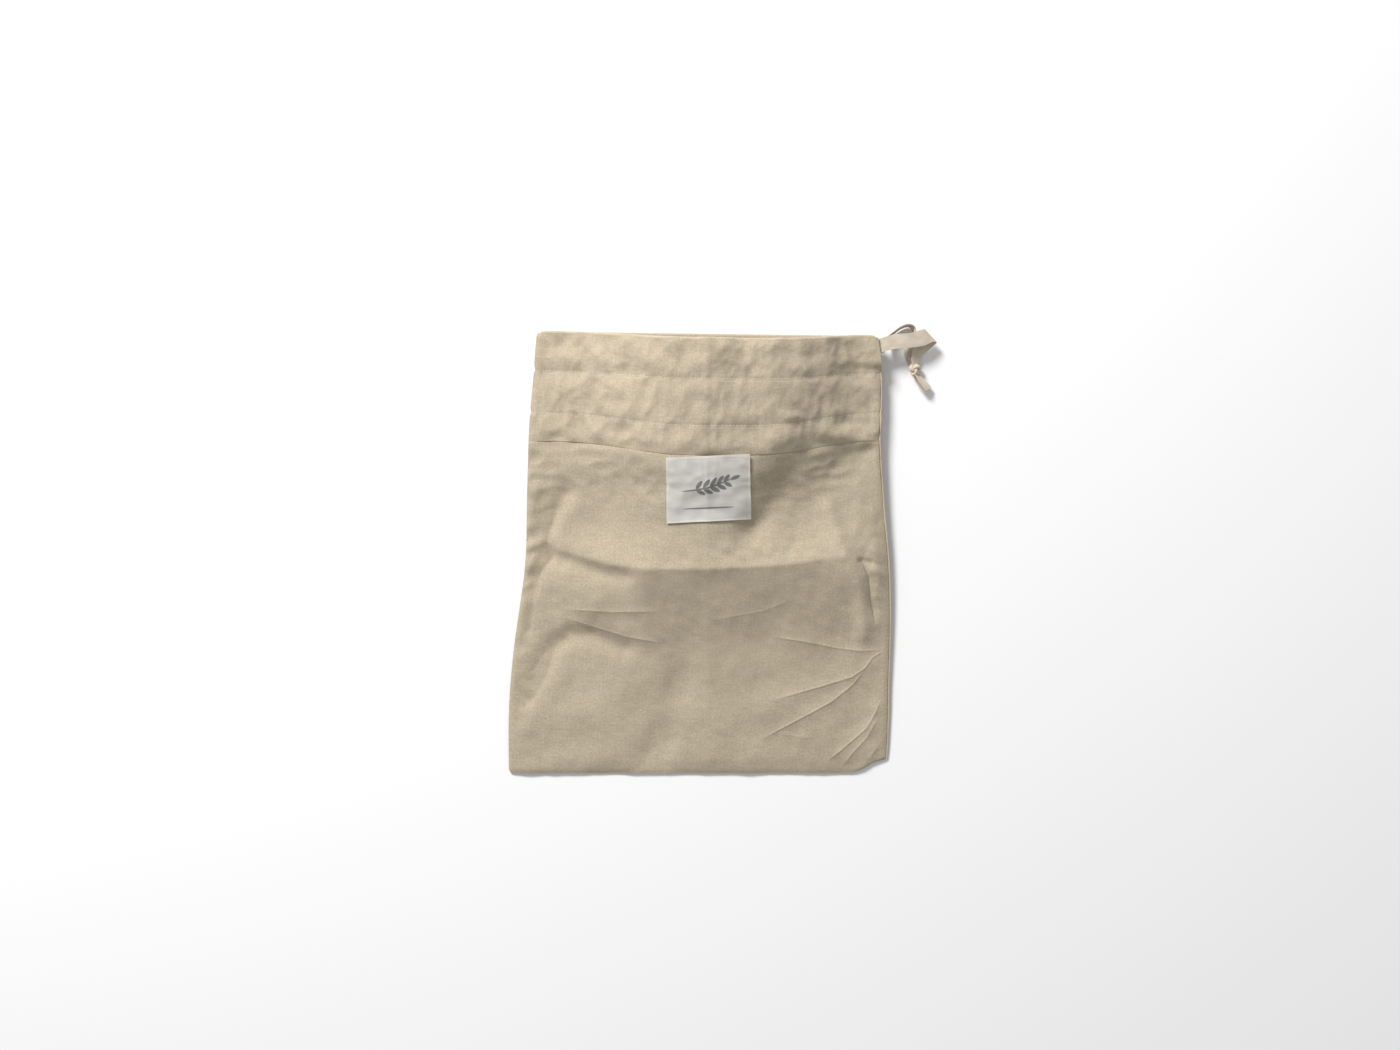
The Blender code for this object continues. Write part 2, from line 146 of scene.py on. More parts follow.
# Folds of the front: each a ridge (rise over 0) or trough along a line of plan points.
# A sharp one has a crest like a crease, a soft one is round.
Fold = namedtuple("Fold", "line rise width sharp")
FOLDS = (
    # Fold across the bag below the label, its slow fall to the lower bag, and the dip at its left
    Fold(
        ((-158, 4), (-137, 4), (-111, -3), (-85, -11), (-52, -15), (13, -15), (79, -11), (150, -1)),
        5.5, 14, True,
    ),
    Fold(((-44, -22), (50, -22), (124, -15)), 13.0, 47, False),
    Fold(((-136, -5), (-118, -7), (-95, -17), (-70, -22)), -3.5, 8, False),
    Fold(((-120, -28), (-100, -45)), 3.0, 16, False),
    # Slack beside the full middle
    Fold(((92, 90), (46, 18)), -4.5, 13, False),
    Fold(((42, 204), (46, 112)), -3.0, 16, False),
    Fold(((122, 204), (118, 150), (120, 112)), 2.0, 9, False),
    Fold(((128, 106), (158, 104)), 3.5, 7, False),
    Fold(((128, 88), (160, 92)), -2.0, 7, False),
    Fold(((-124, 54), (-138, 30), (-150, 8)), -5.0, 9, False),
    Fold(((-141, 0), (-154, -19), (-162, -42), (-164, -66)), -4.5, 8, False),
    # Ridge along the right edge and the hollows outside it
    Fold(((118, 39), (131, 2), (145, -23), (150, -47), (151, -76)), 4.0, 8, False),
    Fold(((147, -4), (155, -24), (157, -44), (162, -68)), -2.8, 4.5, True),
    # Curved hollow at the lower left, and the shallow dip inside it
    Fold(
        ((-70, -88), (-100, -76), (-120, -76), (-136, -88), (-146, -112), (-162, -131)),
        -5.0, 10, False,
    ),
    Fold(((-96, -104), (-124, -132)), -1.2, 20, False),
    # Soft valley down the lower middle
    Fold(((-17, -114), (-23, -150), (-43, -188)), -3.6, 16, False),
    # Pulls that fan from the right edge
    Fold(((62, -77), (95, -82), (124, -88), (147, -91), (169, -90)), 1.1, 5, True),
    Fold(((57, -139), (114, -123), (140, -115), (152, -107), (159, -97), (170, -91)), 1.4, 6, True),
    Fold(((50, -176), (95, -152), (121, -138), (141, -122), (152, -108)), 1.4, 6, True),
    Fold(((115, -195), (131, -182), (153, -163), (161, -150), (167, -136)), 1.3, 5, True),
    Fold(((130, -200), (141, -185), (154, -171), (165, -151)), 1.1, 4.5, True),
    Fold(((155, -192), (165, -178)), 1.0, 4, True),
    Fold(((72, -167), (104, -172)), 0.7, 4, True),
    # Light creases from packing
    Fold(((-133, -52), (-81, -55), (-30, -54)), 0.9, 4, True),
    Fold(((-125, -60), (-97, -69), (-67, -78), (-30, -84)), 1.0, 4, True),
    Fold(((7, -63), (57, -54), (88, -42)), 0.5, 4, True),
)

# Small tucks and puckers by the side seams
Tuck = namedtuple("Tuck", "line rise width")
TUCKS = (
    Tuck(((148, -8), (156, -9)), -1.6, 3.0),
    Tuck(((158, 2), (169, -3)), 1.3, 3.5),
    Tuck(((159, -17), (170, -22)), 1.4, 3.2),
    Tuck(((161, -28), (171, -32)), -0.9, 2.6),
    Tuck(((161, -40), (171, -43)), 1.3, 3.2),
    Tuck(((162, -52), (171, -55)), -0.8, 2.6),
    Tuck(((160, 14), (170, 11)), -1.0, 3.0),
    Tuck(((158, -10), (171, -13)), -1.0, 2.6),
    Tuck(((-150, 62), (-156, 38)), 1.6, 5.0),
    Tuck(((-146, 10), (-158, 4)), 1.2, 4.0),
    Tuck(((-152, -4), (-159, -16)), 1.4, 4.0),
    Tuck(((-158, -30), (-164, -34)), 1.0, 3.0),
    Tuck(((-166, -96), (-160, -112)), 1.2, 5.0),
    Tuck(((-160, -136), (-168, -128)), -1.0, 4.0),
)
FOLD_MARGIN = 14.0
SHARPNESS = 1.15

# Notches in the side edges where the stitch lines end
LEFT_NOTCH = 1.3
RIGHT_NOTCH = 0.6
NOTCH_ABOVE = 1.0
NOTCH_WIDTH = 2.2

# Crease pressed in down the middle while the bag was folded flat
PRESS_X = 6.5
PRESS_RISE = 2.5
PRESS_WIDTH = 8.0
PRESS_SHARPNESS = 1.2

# Bands of the heading between its lines, and how far each puffs out
Band = namedtuple("Band", "top low puff")
BANDS = (
    Band(MOUTH + 4, CASING_STITCH, 0.9),
    Band(CASING_STITCH, LOWER_STITCH, 0.7),
    Band(LOWER_STITCH, SEAM, 0.6),
)
PUFF_POWER = 0.8

# Puckers along a stitch line: more at the left end, fewer at the right, and the line's own groove
PUCKER = 0.45
LEFT_PUCKER = 0.65
RIGHT_PUCKER = 0.25
PUCKER_REACH = 7.0
GROOVE = 0.3
GROOVE_WIDTH = 1.1

# Label: corners in plan, its size when flat, and how far its free corner and edges curl up
LABEL_SIZE = (76, 60)
LABEL_SEWN = 58
LABEL_PASSES = 8
CORNER_CURL = 1.3
CORNER_WIDTH = 7
EDGE_CURL = 0.5
EDGE_WIDTH = 3
LABEL_TOP_LEFT = (-30.5, 86.0)
LABEL_TOP_RIGHT = (45.0, 89.5)
LABEL_BOTTOM_LEFT = (-30.0, 26.5)
LABEL_BOTTOM_RIGHT = (46.0, 30.5)

Ribbon = namedtuple("Ribbon", "x y z other_x other_y other_z")
UPPER_STRAND = (
    Ribbon(196.6, 170.5, 6.6, 199.8, 170.5, 5.0),
    Ribbon(195.2, 175.0, 7.5, 201.3, 175.0, 4.6),
    Ribbon(194.8, 179.0, 8.0, 203.8, 180.3, 4.8),
    Ribbon(196.2, 186.5, 9.0, 210.0, 185.8, 5.6),
    Ribbon(201.5, 196.8, 9.6, 215.8, 190.8, 6.4),
    Ribbon(206.6, 204.8, 10.6, 218.0, 193.2, 8.0),
    Ribbon(203.2, 204.2, 13.2, 214.0, 193.4, 11.0),
    Ribbon(198.0, 202.6, 14.6, 205.0, 189.6, 13.6),
    Ribbon(190.6, 201.0, 15.8, 191.4, 187.6, 15.6),
    Ribbon(178.0, 200.2, 15.8, 178.0, 186.6, 15.8),
)
LOWER_STRAND = (
    Ribbon(168.4, 195.2, 14.2, 168.8, 183.2, 12.2),
    Ribbon(173.0, 199.0, 13.9, 173.4, 190.6, 4.6),
    Ribbon(178.0, 202.9, 13.2, 178.6, 200.4, 1.0),
    Ribbon(185.0, 207.8, 13.0, 185.6, 206.2, 0.9),
    Ribbon(193.0, 209.8, 12.8, 192.6, 208.0, 0.8),
    Ribbon(198.2, 206.0, 12.4, 196.0, 204.6, 0.8),
    Ribbon(197.6, 198.0, 11.4, 194.6, 197.6, 0.8),
    Ribbon(195.0, 190.0, 8.2, 190.4, 190.0, 0.8),
    Ribbon(193.2, 182.6, 5.6, 189.0, 182.6, 0.8),
    Ribbon(195.6, 175.7, 3.6, 192.2, 174.6, 1.2),
    Ribbon(198.0, 170.6, 4.2, 195.4, 170.2, 2.4),
)
FIRST_END = (
    Ribbon(197.0, 166.4, 8.0, 200.0, 167.0, 4.4),
    Ribbon(198.6, 162.4, 8.8, 202.6, 163.6, 4.0),
    Ribbon(200.8, 158.2, 9.0, 205.4, 160.8, 4.2),
    Ribbon(205.0, 152.2, 8.6, 210.4, 155.8, 4.4),
    Ribbon(207.8, 148.4, 8.2, 213.6, 152.0, 4.0),
)
SECOND_END = (
    Ribbon(196.6, 166.0, 5.0, 199.0, 166.4, 2.6),
    Ribbon(196.8, 162.2, 6.4, 199.8, 162.8, 1.2),
    Ribbon(198.6, 157.6, 7.2, 202.4, 158.8, 0.8),
    Ribbon(203.4, 151.2, 7.0, 208.4, 153.8, 0.8),
    Ribbon(206.2, 147.4, 6.8, 211.4, 150.2, 0.8),
)

# Knot: its middle, the reach of its curve, and the strand's width, thickness and ridges
KNOT_CENTRE = (198.0, 168.4, 5.4)
KNOT_REACH = (3.9, 4.5, 2.9)
KNOT_WIDTH = 3.1
KNOT_THICKNESS = 1.7
KNOT_RIDGE = 0.14
KNOT_LOW = 0.35

# Crisp crests on the sharp folds that are low enough to be creases
CREASED_BELOW = 3
CREASE_WIDTH = 1.5
CREASE_STEEPNESS = 1.8

# Sewing, and the print on the label
STITCH = 2.7
STITCH_PITCH = 3.3
STITCH_START = 3
STITCH_STOP = 6
STITCH_SHARES = (0.0, 0.22, 0.5, 0.78, 1.0)
STITCH_LIFTS = (-0.35, 0.08, 0.16, 0.08, -0.35)
THREAD = 0.5
PRINT = 0.08
PRINT_LIFT = 0.14
STEM_TURN = 12
STEM_BOW = -2.4
GRAIN_TURN = 38
GRAIN_WIDTH = 3.4
Grain = namedtuple("Grain", "place size")
GRAINS = (Grain(-12.0, 9.0), Grain(-5.6, 9.6), Grain(0.8, 9.6), Grain(7.2, 9.0), Grain(13.4, 8.0))

# How fine each piece's grid is
PANEL_STEPS = (216, 188)
BACK_STEPS = (150, 120)
HEADING_STEPS = 190
OUTER_ROWS = 66
FOLD_ROWS = 9
INNER_ROWS = 40
LABEL_STEPS = (70, 60)
CASING_STATIONS = 60

# Pitches of the weaves in millimetres, and colours
WEAVE_PITCH = 0.75
LABEL_PITCH = 0.5
TWILL_PITCH = 1.1
TWILL_ROW = 0.55
CLOTH_TONES = (0.52, 0.443, 0.325), (0.435, 0.365, 0.264), (0.535, 0.45, 0.345)
# Painted light: the headings and back panel take the front panel's cloth 5% lighter
PAINTED_LIGHT_GAIN = 1.05
# How strongly painted shade darkens the band below the fold across the bag
BELOW_FOLD_SHADE = 0.26
CLOTH_BRIGHT = (0.64, 0.55, 0.385)
LABEL_TONES = (0.575, 0.555, 0.51), (0.625, 0.605, 0.56)
# Painted shade in the gaps of the label's weave
LABEL_GAP_SHADE = (0.48, 0.46, 0.42)
LABEL_THREAD = (0.74, 0.72, 0.68)
LABEL_EDGE = (0.70, 0.65, 0.57)
TAPE_TONES = (0.57, 0.48, 0.385), (0.65, 0.58, 0.475)
TAPE_SHADE = (0.56, 0.44, 0.35)
PRINT_TONES = (0.13, 0.128, 0.122), (0.24, 0.235, 0.222)
THREAD_TONES = (0.62, 0.56, 0.45), (0.76, 0.71, 0.60)
FLOOR_TONES = (0.90, 0.90, 0.90), (0.91, 0.91, 0.91)

# Stage, in metres and watts
FLOOR_SIZE = 8
FLOOR_DROP = 0.0004
SKY = 0.45
KEY_PLACE = (-1.22, 2.1, 1.7)
KEY_SIZE = 0.9
KEY_POWER = 107
CAMERA_PLACE = (0, 0.025, 2.0)
LENS = 55.6
SENSOR = 36


# Small helpers


def ease(t):
    t = np.clip(t, 0.0, 1.0)
    return t * t * (3 - 2 * t)


def mix(a, b, t):
    return a + (b - a) * t


def along(table, column, y):
    """A table's column at y, on a smooth curve through its rows."""
    knots = np.array([row.y for row in table])
    values = np.array([getattr(row, column) for row in table])
    y = np.clip(y, knots[0], knots[-1])
    i = np.clip(np.searchsorted(knots, y, side="right") - 1, 0, len(knots) - 2)
    before, after = np.maximum(i - 1, 0), np.minimum(i + 2, len(knots) - 1)
    step = knots[i + 1] - knots[i]
    first = (values[i + 1] - values[before]) / (knots[i + 1] - knots[before]) * step
    second = (values[after] - values[i]) / (knots[after] - knots[i]) * step
    t = (y - knots[i]) / step
    near = values[i] * (1 - t) ** 2 * (1 + 2 * t) + first * t * (1 - t) ** 2
    return near + values[i + 1] * t**2 * (3 - 2 * t) - second * t**2 * (1 - t)


def waves(x, y, seed, shortest, longest, count=28):
    """Soft irregular waves between -1 and 1: sines of seeded directions and lengths."""
    random = np.random.default_rng(SEED * 1000 + seed)
    total = np.zeros_like(x)
    for _ in range(count):
        length = np.exp(random.uniform(np.log(shortest), np.log(longest)))
        turn, phase = random.uniform(0, 2 * np.pi, 2)
        across = x * np.cos(turn) + y * np.sin(turn)
        total += np.sin(across * 2 * np.pi / length + phase)
    return total / np.sqrt(count)


def crumple(x, y, seed, shortest, longest):
    """Small sharp-crested puckers: the folded-over value of two sets of waves."""
    first = waves(x, y, seed, shortest, longest, count=14)
    second = waves(x, y, seed + 1, shortest, longest, count=14)
    return 0.8 - np.abs(first) - 0.5 * np.abs(second)


# The bag's surfaces


def edges(y):
    """Left and right edge of the bag, drawn in a little where the stitch lines end."""
    rows = (CASING_STITCH + NOTCH_ABOVE, LOWER_STITCH + NOTCH_ABOVE)
    drawn_in = sum(np.exp(-(((y - row) / NOTCH_WIDTH) ** 2)) for row in rows)
    left = along(OUTLINE, "left", y) + LEFT_NOTCH * drawn_in
    return left, along(OUTLINE, "right", y) - RIGHT_NOTCH * drawn_in


def middle_share(x, y):
    """How much of the middle's height the bag keeps at this place."""
    rightwards = x > FULL_CENTRE
    spread = np.where(rightwards, along(SECTIONS, "right", y), along(SECTIONS, "left", y))
    power = np.where(rightwards, along(SECTIONS, "power", y), LEFT_POWER)
    return np.exp(-((np.abs(x - FULL_CENTRE) / spread) ** power))


def distance(x, y, line):
    """From plan points to a line of points, and the share of the line that is passed there."""
    best, lengths, place = None, [], None
    for start, end in zip(line, line[1:]):
        run = np.subtract(end, start)
        share = ((x - start[0]) * run[0] + (y - start[1]) * run[1]) / (run @ run)
        share = np.clip(share, 0, 1)
        aside = np.hypot(x - start[0] - share * run[0], y - start[1] - share * run[1])
        passed = sum(lengths) + share * math.hypot(*run)
        lengths.append(math.hypot(*run))
        if best is None:
            best, place = aside, passed
        else:
            place = np.where(aside < best, passed, place)
            best = np.minimum(aside, best)
    return best, place / sum(lengths)


def fold_height(x, y):
    total = np.zeros_like(x)
    for fold in FOLDS:
        aside, share = distance(x, y, fold.line)
        if fold.sharp:
            tapered = ease(share * 5) * ease((1 - share) * 5)
            total += fold.rise * tapered * np.exp(-np.abs(aside / fold.width) ** SHARPNESS)
        else:
            total += fold.rise * np.exp(-((aside / fold.width) ** 2))
    return total


def back(x, y):
    """Height of the back's underside."""
    left, right = edges(y)
    inward = np.minimum(x - left, right - x)
    return along(SECTIONS, "lift", y) * (1 - ease(inward / MARGIN))


def front(x, y):
    """Height of the front's upper side."""
    left, right = edges(y)
    inward = np.maximum(0.0, np.minimum(x - left, right - x))
    across = np.abs(2 * (x - left) / (right - left) - 1)
    height = CLOSED + along(SECTIONS, "lift", y)
    height += along(SECTIONS, "full", y) * middle_share(x, y)
    height += along(SECTIONS, "rise", y) * (1 - np.minimum(1.0, across) ** RISE_POWER)
    height += fold_height(x, y) * ease(inward / FOLD_MARGIN)
    at_exit = ease((y - CASING_STITCH) / EXIT_RAMP) * ease(1 - (right - x) / EXIT_FADE)
    return np.maximum(height + EXIT_ROOM * at_exit, back(x, y) + CLOSED)


def slopes(surface, x, y, step=0.5):
    """Unit tangent towards the mouth and unit normal, upwards."""
    over_x = (surface(x + step, y) - surface(x - step, y)) / (2 * step)
    over_y = (surface(x, y + step) - surface(x, y - step)) / (2 * step)
    tangent = np.stack([np.zeros_like(x), np.ones_like(x), over_y], -1)
    normal = np.stack([-over_x, -over_y, np.ones_like(x)], -1)
    return [v / np.linalg.norm(v, axis=-1, keepdims=True) for v in (tangent, normal)]


def inside(surface, x, y, depth):
    """Points this deep under the bag's outer side."""
    normal = slopes(surface, x, y)[1]
    inward = normal if surface is back else -normal
    return np.stack([x, y, surface(x, y)], -1) + inward * np.asarray(depth)[..., None]


def row_y(surface, x, y):
    """Where the cloth's row that starts at y at the side edge passes x."""
    left, right = edges(y)
    leaning = MOUTH_LEAN * (x - left) * ease((y - SEAM) / (MOUTH - SEAM))
    drop = along(SECTIONS, "drop", y) * middle_share(x, y) if surface is front else 0.0
    tuck = TUCK * ease((x - right + TUCK_WIDTH) / TUCK_WIDTH)
    return y - leaning - drop + tuck * np.exp((BOTTOM - y) / TUCK_FADE)


def side_roll(inward):
    """How far an edge turns in towards the other layer over its last millimetres."""
    return SIDE_ROLL * (1 - ease(inward / ROLL_WIDTH))


# Grids


def deselect():
    for item in list(bpy.context.selected_objects):
        item.select_set(False)


def grid(name, columns, rows, points, thickness, look):
    """A sheet: a grid primitive whose points go to the array's places, then its thickness."""
    deselect()
    bpy.ops.mesh.primitive_grid_add(
        x_subdivisions=columns, y_subdivisions=rows, size=1, calc_uvs=True, location=(0, 0, 0)
    )
    piece = bpy.context.object
    piece.name = piece.data.name = name
    mesh = piece.data
    flat = np.empty(len(mesh.vertices) * 3)
    mesh.vertices.foreach_get("co", flat)
    flat = flat.reshape(-1, 3)
    column = np.rint((flat[:, 0] + 0.5) * columns).astype(int)
    row = np.rint((flat[:, 1] + 0.5) * rows).astype(int)
    mesh.vertices.foreach_set("co", (points[row, column] * MM).ravel())
    cloth_map(mesh, points, column, row)
    solidify(piece, thickness)
    finish(piece, look)
    return piece


def cloth_map(mesh, points, column, row):
    """UVs in millimetres of flat cloth: the lengths along the grid's own lines."""
    across = np.linalg.norm(np.diff(points, axis=1), axis=-1)
    across = np.concatenate([np.zeros((len(points), 1)), np.cumsum(across, axis=1)], axis=1)
    across -= across[:, across.shape[1] // 2][:, None]
    up = np.linalg.norm(np.diff(points, axis=0), axis=-1)
    up = np.concatenate([np.zeros((1, points.shape[1])), np.cumsum(up, axis=0)], axis=0)
    corners = np.empty(len(mesh.loops), dtype=int)
    mesh.loops.foreach_get("vertex_index", corners)
    places = np.stack([across[row, column], up[row, column]], -1)[corners]
    mesh.uv_layers.active.data.foreach_set("uv", places.ravel())


def solidify(piece, thickness):
    bpy.context.view_layer.objects.active = piece
    piece.select_set(True)
    solid = piece.modifiers.new("thickness", "SOLIDIFY")
    solid.thickness = thickness * MM
    solid.offset = 0.0
    bpy.ops.object.modifier_apply(modifier=solid.name)


def finish(piece, look, angle=50):
    deselect()
    piece.select_set(True)
    bpy.context.view_layer.objects.active = piece
    bpy.ops.object.shade_smooth_by_angle(angle=math.radians(angle))
    piece.data.materials.clear()
    piece.data.materials.append(look)
    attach(piece, "root")


# The cloth's pieces


def front_panel(look):
    columns, rows = PANEL_STEPS
    u, v = np.meshgrid(np.linspace(0, 1, columns + 1), np.linspace(0, 1, rows + 1))
    y0 = mix(BOTTOM, SEAM - SEAM_GAP, v)
    left, right = edges(y0)
    right = right - RIGHT_LIP
    x = mix(left, right, u)
    inward = np.minimum(x - left, right - x)
    depth = CLOTH / 2 + side_roll(inward) + PANEL_STEP * np.exp((y0 - SEAM) / STEP_FADE)
    depth -= panel_detail(x, y0)
    depth += BOTTOM_ROLL * (1 - ease((y0 - BOTTOM) / ROLL_WIDTH))
    points = inside(front, x, row_y(front, x, y0), depth)
    piece = grid("front_panel_cloth", columns, rows, points, CLOTH, look)
    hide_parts("front_panel")
    return piece


def panel_detail(x, y):
    """Fine relief of the front panel over its main folds, outwards."""
    quiet = ease((176 - np.abs(x)) / 20)
    relief = 0.6 * waves(x, y, seed=1, shortest=30, longest=90)
    relief += 0.14 * waves(x, y, seed=2, shortest=9, longest=22)
    upper = ease((y - 20) / 60)
    relief += upper * 0.6 * crumple(x, y, seed=3, shortest=18, longest=50)
    left, right = edges(y)
    beside = np.exp(-np.minimum(x - left, right - x) / 16)
    relief += beside * 0.7 * waves(x, y, seed=13, shortest=16, longest=44)
    relief += press(x) * (0.2 + 0.8 * ease(y / 110))
    above_fold = np.exp(-(((y - 4) / 16) ** 2)) * ease((x - 5) / 30)
    relief += 0.4 * above_fold * waves(x, y, seed=23, shortest=10, longest=26)
    for tuck in TUCKS:
        relief += tuck.rise * np.exp(-((distance(x, y, tuck.line)[0] / tuck.width) ** 2))
    return relief * quiet * (1 - SEAM_CALM * np.exp(-np.maximum(0, SEAM - y) / SEAM_CALM_WIDTH))


def press(x):
    """The crease down the middle, from packing."""
    return PRESS_RISE * np.exp(-(np.abs((x - PRESS_X) / PRESS_WIDTH) ** PRESS_SHARPNESS))


def heading(surface, name, look):
    """Cloth up the outside, round the mouth's fold and down the inside to the hem."""
    columns = HEADING_STEPS
    u = np.linspace(0, 1, columns + 1)[None, :]
    fold_y = MOUTH - FOLD_RADIUS
    outer_y = np.linspace(SEAM + SEAM_GAP, fold_y - OUTER_STOP, OUTER_ROWS + 1)[:, None]
    left, right = edges(outer_y)
    if surface is front:
        right = right - RIGHT_LIP * (1 - ease((outer_y - CASING_STITCH) / EXIT_RAMP))
    x = mix(left, right, u)
    y0 = outer_y + 0 * x
    inward = np.minimum(x - left, right - x)
    exit_open = ease((y0 - CASING_STITCH) / EXIT_RAMP) * ease(1 - (right - x) / EXIT_WIDTH)
    depth = CLOTH / 2 + side_roll(inward) * (1 - exit_open)
    depth = depth - heading_relief(x, y0, surface)
    depth = depth + HEADING_STEP * np.exp(-(y0 - SEAM) / STEP_FADE)
    outer = inside(surface, x, row_y(surface, x, y0), depth)

    left, right = edges(fold_y)
    x = mix(left + MOUTH_INSET, right - MOUTH_INSET, u)
    y = row_y(surface, x, fold_y + 0 * x)
    tangent, normal = slopes(surface, x, y)
    outward = -normal if surface is back else normal
    turn = np.linspace(0, np.pi, FOLD_ROWS)[:, None, None]
    swell = heading_relief(x, fold_y + 0 * x, surface)
    inset = ease(np.minimum(x - left, right - x) / INNER_INSET)
    radius = mix(LEAST_RADIUS, FOLD_RADIUS, inset)[..., None]
    centre = inside(surface, x, y, CLOTH / 2 + radius[..., 0] - swell)
    rolled = centre + (outward * np.cos(turn) + tangent * np.sin(turn)) * radius

    hem_y = LOWER_STITCH - HEM_BELOW_STITCH
    inner_y = np.linspace(fold_y - INNER_START, hem_y, INNER_ROWS)[:, None]
    left, right = edges(inner_y)
    x = mix(left + MOUTH_INSET, right - MOUTH_INSET, u)
    y0 = inner_y + 0 * x
    stitched = ease((CASING_STITCH + STITCH_RAMP - y0) / STITCH_RAMP)
    inset = ease(np.minimum(x - left, right - x) / INNER_INSET)
    open_depth = CLOTH / 2 + 2 * mix(LEAST_RADIUS, FOLD_RADIUS, inset)
    depth = mix(open_depth, np.minimum(open_depth, STITCHED_DEPTH), stitched)
    depth = depth - INNER_RELIEF * heading_relief(x, y0, surface)
    inner = inside(surface, x, row_y(surface, x, y0), depth)
    points = np.concatenate([outer, rolled, inner], axis=0)
    piece = grid(name + "_cloth", columns, len(points) - 1, points, CLOTH, look)
    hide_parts(name)
    return piece


def heading_relief(x, y, surface):
    """Puffed bands between the stitch lines, drawn in at each, with puckers and crumples."""
    if surface is back:
        return 0.0 * x
    relief = np.zeros_like(x)
    for band in BANDS:
        share = np.clip((y - band.low) / (band.top - band.low), 0, 1)
        relief += band.puff * np.sin(np.pi * share) ** PUFF_POWER
    relief += waves(x, y, seed=5, shortest=18, longest=50)
    relief += 0.7 * crumple(x, y, seed=7, shortest=16, longest=44)
    rightwards = ease((x - 50) / 40)
    relief += 0.35 * rightwards * waves(x + 0.5 * y, y, seed=21, shortest=14, longest=34)
    relief += 0.10 * waves(x, y, seed=8, shortest=6, longest=14)
    relief += press(x)
    pucker = PUCKER + LEFT_PUCKER * np.exp(-np.maximum(0, x + 150) / 22)
    pucker -= RIGHT_PUCKER * ease((x - 40) / 30)
    for stitch in (CASING_STITCH, LOWER_STITCH):
        near = np.exp(-np.abs(y - stitch) / PUCKER_REACH)
        seed = 9 + int(stitch)
        relief += near * pucker * waves(x, y * 0.12, seed, shortest=7, longest=18)
        relief -= GROOVE * np.exp(-(((y - stitch) / GROOVE_WIDTH) ** 2))
    edge = 1 - ease((np.minimum(x + 158, 168 - x)) / 8)
    calm = 1 - SEAM_CALM * np.exp(-np.maximum(0, y - SEAM) / SEAM_CALM_WIDTH)
    return relief * (1 - 0.8 * edge) * calm


def back_panel(look):
    columns, rows = BACK_STEPS
    u, v = np.meshgrid(np.linspace(0, 1, columns + 1), np.linspace(0, 1, rows + 1))
    y0 = mix(BOTTOM, SEAM - SEAM_GAP, v)
    left, right = edges(y0)
    x = mix(left, right, u)
    inward = np.minimum(x - left, right - x)
    depth = CLOTH / 2 + BACK_ROLL * side_roll(inward)
    points = inside(back, x, row_y(back, x, y0), depth)
    piece = grid("back_panel_cloth", columns, rows, points, CLOTH, look)
    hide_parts("back_panel")
    return piece


def label_points(u, v, lift):
    """Points this far above the cloth under the label, at shares of its width and height."""
    low = [mix(LABEL_BOTTOM_LEFT[i], LABEL_BOTTOM_RIGHT[i], u) for i in (0, 1)]
    high = [mix(LABEL_TOP_LEFT[i], LABEL_TOP_RIGHT[i], u) for i in (0, 1)]
    x, y = (mix(low[i], high[i], v) for i in (0, 1))
    row = y
    for _ in range(LABEL_PASSES):
        row = row + y - row_y(front, x, row)
    return inside(front, x, y, -lift - panel_detail(x, row))


def label(look):
    columns, rows = LABEL_STEPS
    u, v = np.meshgrid(np.linspace(0, 1, columns + 1), np.linspace(0, 1, rows + 1))
    width, height = LABEL_SIZE
    curl = CORNER_CURL * np.exp(-np.hypot((1 - u) * width, (1 - v) * height) / CORNER_WIDTH)
    curl += EDGE_CURL * np.exp(-(1 - u) * width / EDGE_WIDTH)
    curl += EDGE_CURL * np.exp(-v * LABEL_SEWN / EDGE_WIDTH)
    points = label_points(u, v, LABEL_LIFT + LABEL / 2 + curl)
    piece = grid("label_cloth", columns, rows, points, LABEL, look)
    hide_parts("label")
    return piece


def printed(name, centre, turn, length, width, look, bow=0.0):
    """A printed leaf on the label: pointed at both ends, in millimetres from the label's middle."""
    steps = 14 if length < 20 else 40
    along_it, across = np.meshgrid(np.linspace(-1, 1, steps + 1), np.linspace(-1, 1, 5))
    leaf_x = along_it * length / 2
    leaf_y = across * width / 2 * (1.02 - along_it**2) ** 0.7 + bow * (1 - along_it**2)
    cos, sin = math.cos(math.radians(turn)), math.sin(math.radians(turn))
    u = 0.5 + (centre[0] + leaf_x * cos - leaf_y * sin) / LABEL_SIZE[0]
    v = 0.5 + (centre[1] + leaf_x * sin + leaf_y * cos) / LABEL_SIZE[1]
    points = label_points(u, v, LABEL_LIFT + LABEL + PRINT_LIFT)
    return grid(name, steps, 4, points, PRINT, look)


def sprig(look):
    """A plain ear of grain above a plain line."""
    marks = [printed("stem", (-1, 4), STEM_TURN, 48, 1.4, look, STEM_BOW)]
    for grain in GRAINS:
        from_middle = grain.place + 1
        middle_y = 4 + from_middle * 0.2 + STEM_BOW * (1 - (from_middle / 23) ** 2)
        for side in (-1, 1):
            turn = STEM_TURN + side * GRAIN_TURN
            reach = grain.size * 0.62
            spot = (
                grain.place + reach * math.cos(math.radians(turn)),
                middle_y + reach * math.sin(math.radians(turn)),
            )
            marks.append(printed("grain", spot, turn, grain.size, GRAIN_WIDTH, look))
    marks.append(printed("tip", (24.5, 9.4), 18, 9.0, 3.2, look))
    marks.append(printed("line", (0, -17.5), 0, 46, 1.3, look))
    deselect()
    for mark in marks:
        mark.select_set(True)
    bpy.context.view_layer.objects.active = marks[0]
    bpy.ops.object.join()
    marks[0].name = marks[0].data.name = "label_print"


